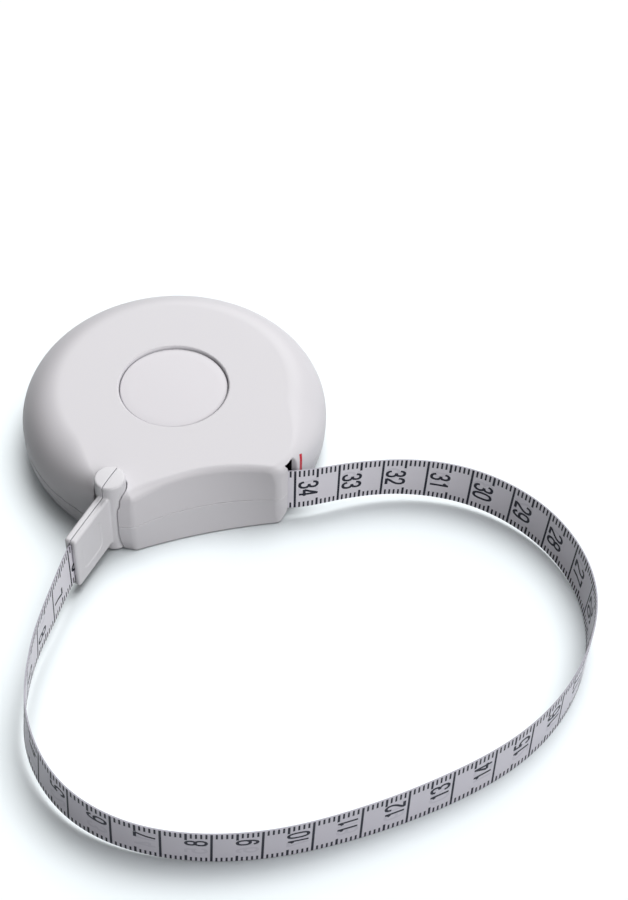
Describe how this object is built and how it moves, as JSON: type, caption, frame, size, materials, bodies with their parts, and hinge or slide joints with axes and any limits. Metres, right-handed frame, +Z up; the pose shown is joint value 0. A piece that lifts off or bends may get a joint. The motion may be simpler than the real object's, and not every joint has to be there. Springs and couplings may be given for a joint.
{
  "type": "push-button body tape measure",
  "caption": "Round retractable body tape with a centre push button, a printed tape that leaves a slot, and a peg handle that locks in a socket to measure a circumference.",
  "frame": {"origin": "on the flat underside of the case, on the axis of the round case, the push button and the reel", "axes": "+Z up along the reel axis, through the push button; the concave front with its two corners faces -Y, with the peg socket at the -X corner and the tape exit slot at the +X corner"},
  "size_m": [0.1235, 0.1492, 0.0213],
  "materials": {
    "case_plastic": "finely textured off-white moulding",
    "button_plastic": "smooth satin off-white moulding",
    "handle_plastic": "smooth satin off-white moulding",
    "tape": "glossy coated glass-fibre tape, pale lilac grey, with navy print",
    "inner_plastic": "plain grey acetal moulding",
    "steel": "turned steel",
    "spring_steel": "blued spring steel",
    "brake_rubber": "matt black rubber"
  },
  "bodies": {
    "case": {"upper_shell": "case_plastic", "lower_shell": "case_plastic", "centre_post": "steel", "power_spring": "spring_steel", "button_return_spring": "spring_steel", "tape_lead": "tape", "tape_loop": "tape"},
    "button": {"push_button": "button_plastic", "brake_pad_rear": "brake_rubber", "brake_pad_left": "brake_rubber", "brake_pad_right": "brake_rubber"},
    "reel": {"reel_drum": "inner_plastic", "reel_upper_flange": "inner_plastic", "brake_ring": "inner_plastic", "spring_cover": "inner_plastic", "tape_coil": "tape"},
    "peg_carrier": {"anchor_pin": "steel", "tape_end": "tape"},
    "handle": {"handle_front_half": "handle_plastic", "handle_rear_half": "handle_plastic"}
  },
  "joints": [
    {"name": "button_press", "type": "slide", "parent": "case", "child": "button", "axis": [0, 0, -1], "range_m": [0, 0.0016], "stiffness_N_per_m": 400, "springref_m": -0.003, "deforming": ["button_return_spring"]},
    {"name": "reel_spin", "type": "hinge", "parent": "case", "child": "reel", "pos_m": [0, 0, 0], "axis": [0, 0, 1], "range_deg": [-820, 3600], "deforming": ["power_spring"]},
    {"name": "peg_lift", "type": "slide", "parent": "case", "child": "peg_carrier", "axis": [0, 0, 1], "range_m": [0, 0.0184], "deforming": ["tape_end", "tape_loop"]},
    {"name": "handle_swivel", "type": "hinge", "parent": "peg_carrier", "child": "handle", "pos_m": [-0.0197, -0.02595, 0], "axis": [0, 0, 1], "range_deg": [-10, 10]}
  ]
}
